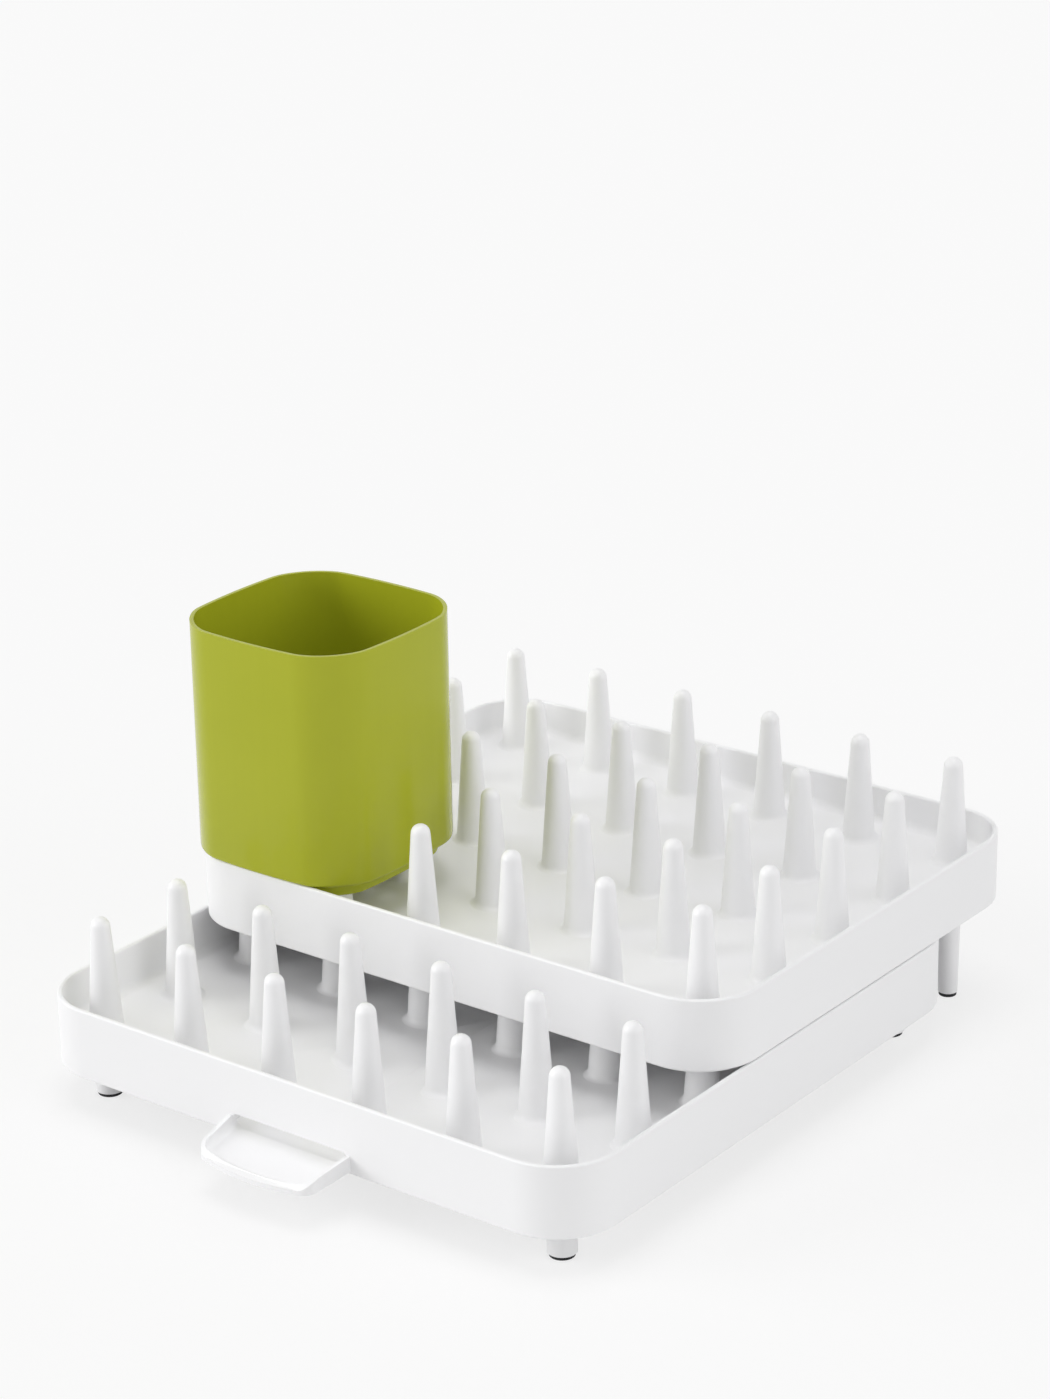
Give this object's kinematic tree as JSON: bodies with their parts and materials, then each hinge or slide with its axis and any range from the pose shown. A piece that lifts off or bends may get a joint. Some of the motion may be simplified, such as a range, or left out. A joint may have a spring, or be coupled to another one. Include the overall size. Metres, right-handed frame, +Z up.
{
  "type": "dish drying rack",
  "caption": "Two-tier dish drying rack of stacked peg trays with a drain spout and a lift-off cup for cutlery.",
  "frame": {"origin": "on the ground, under the middle of the whole set as it stands stacked", "axes": "+Z up, +Y from the spout to the rear legs, +X to the right along the front"},
  "size_m": [0.3242, 0.404, 0.2096],
  "materials": {
    "white_plastic": "satin moulded",
    "green_plastic": "satin moulded",
    "rubber": "matte"
  },
  "bodies": {
    "lower_rack": {"lower_tray": "white_plastic", "lower_pegs": "white_plastic", "foot_pad_front_left": "rubber", "foot_pad_front_right": "rubber", "foot_pad_rear_left": "rubber", "foot_pad_rear_right": "rubber"},
    "upper_rack": {"upper_tray": "white_plastic", "upper_pegs": "white_plastic", "leg_pad_left": "rubber", "leg_pad_right": "rubber"},
    "cutlery_drainer": {"cutlery_drainer": "green_plastic"}
  },
  "joints": [
    {"name": "upper_rack_lift", "type": "slide", "parent": "lower_rack", "child": "upper_rack", "axis": [0, 0, 1], "range_m": [0, 0.1]},
    {"name": "cutlery_drainer_lift", "type": "slide", "parent": "upper_rack", "child": "cutlery_drainer", "axis": [0, 0, 1], "range_m": [0, 0.06]}
  ]
}
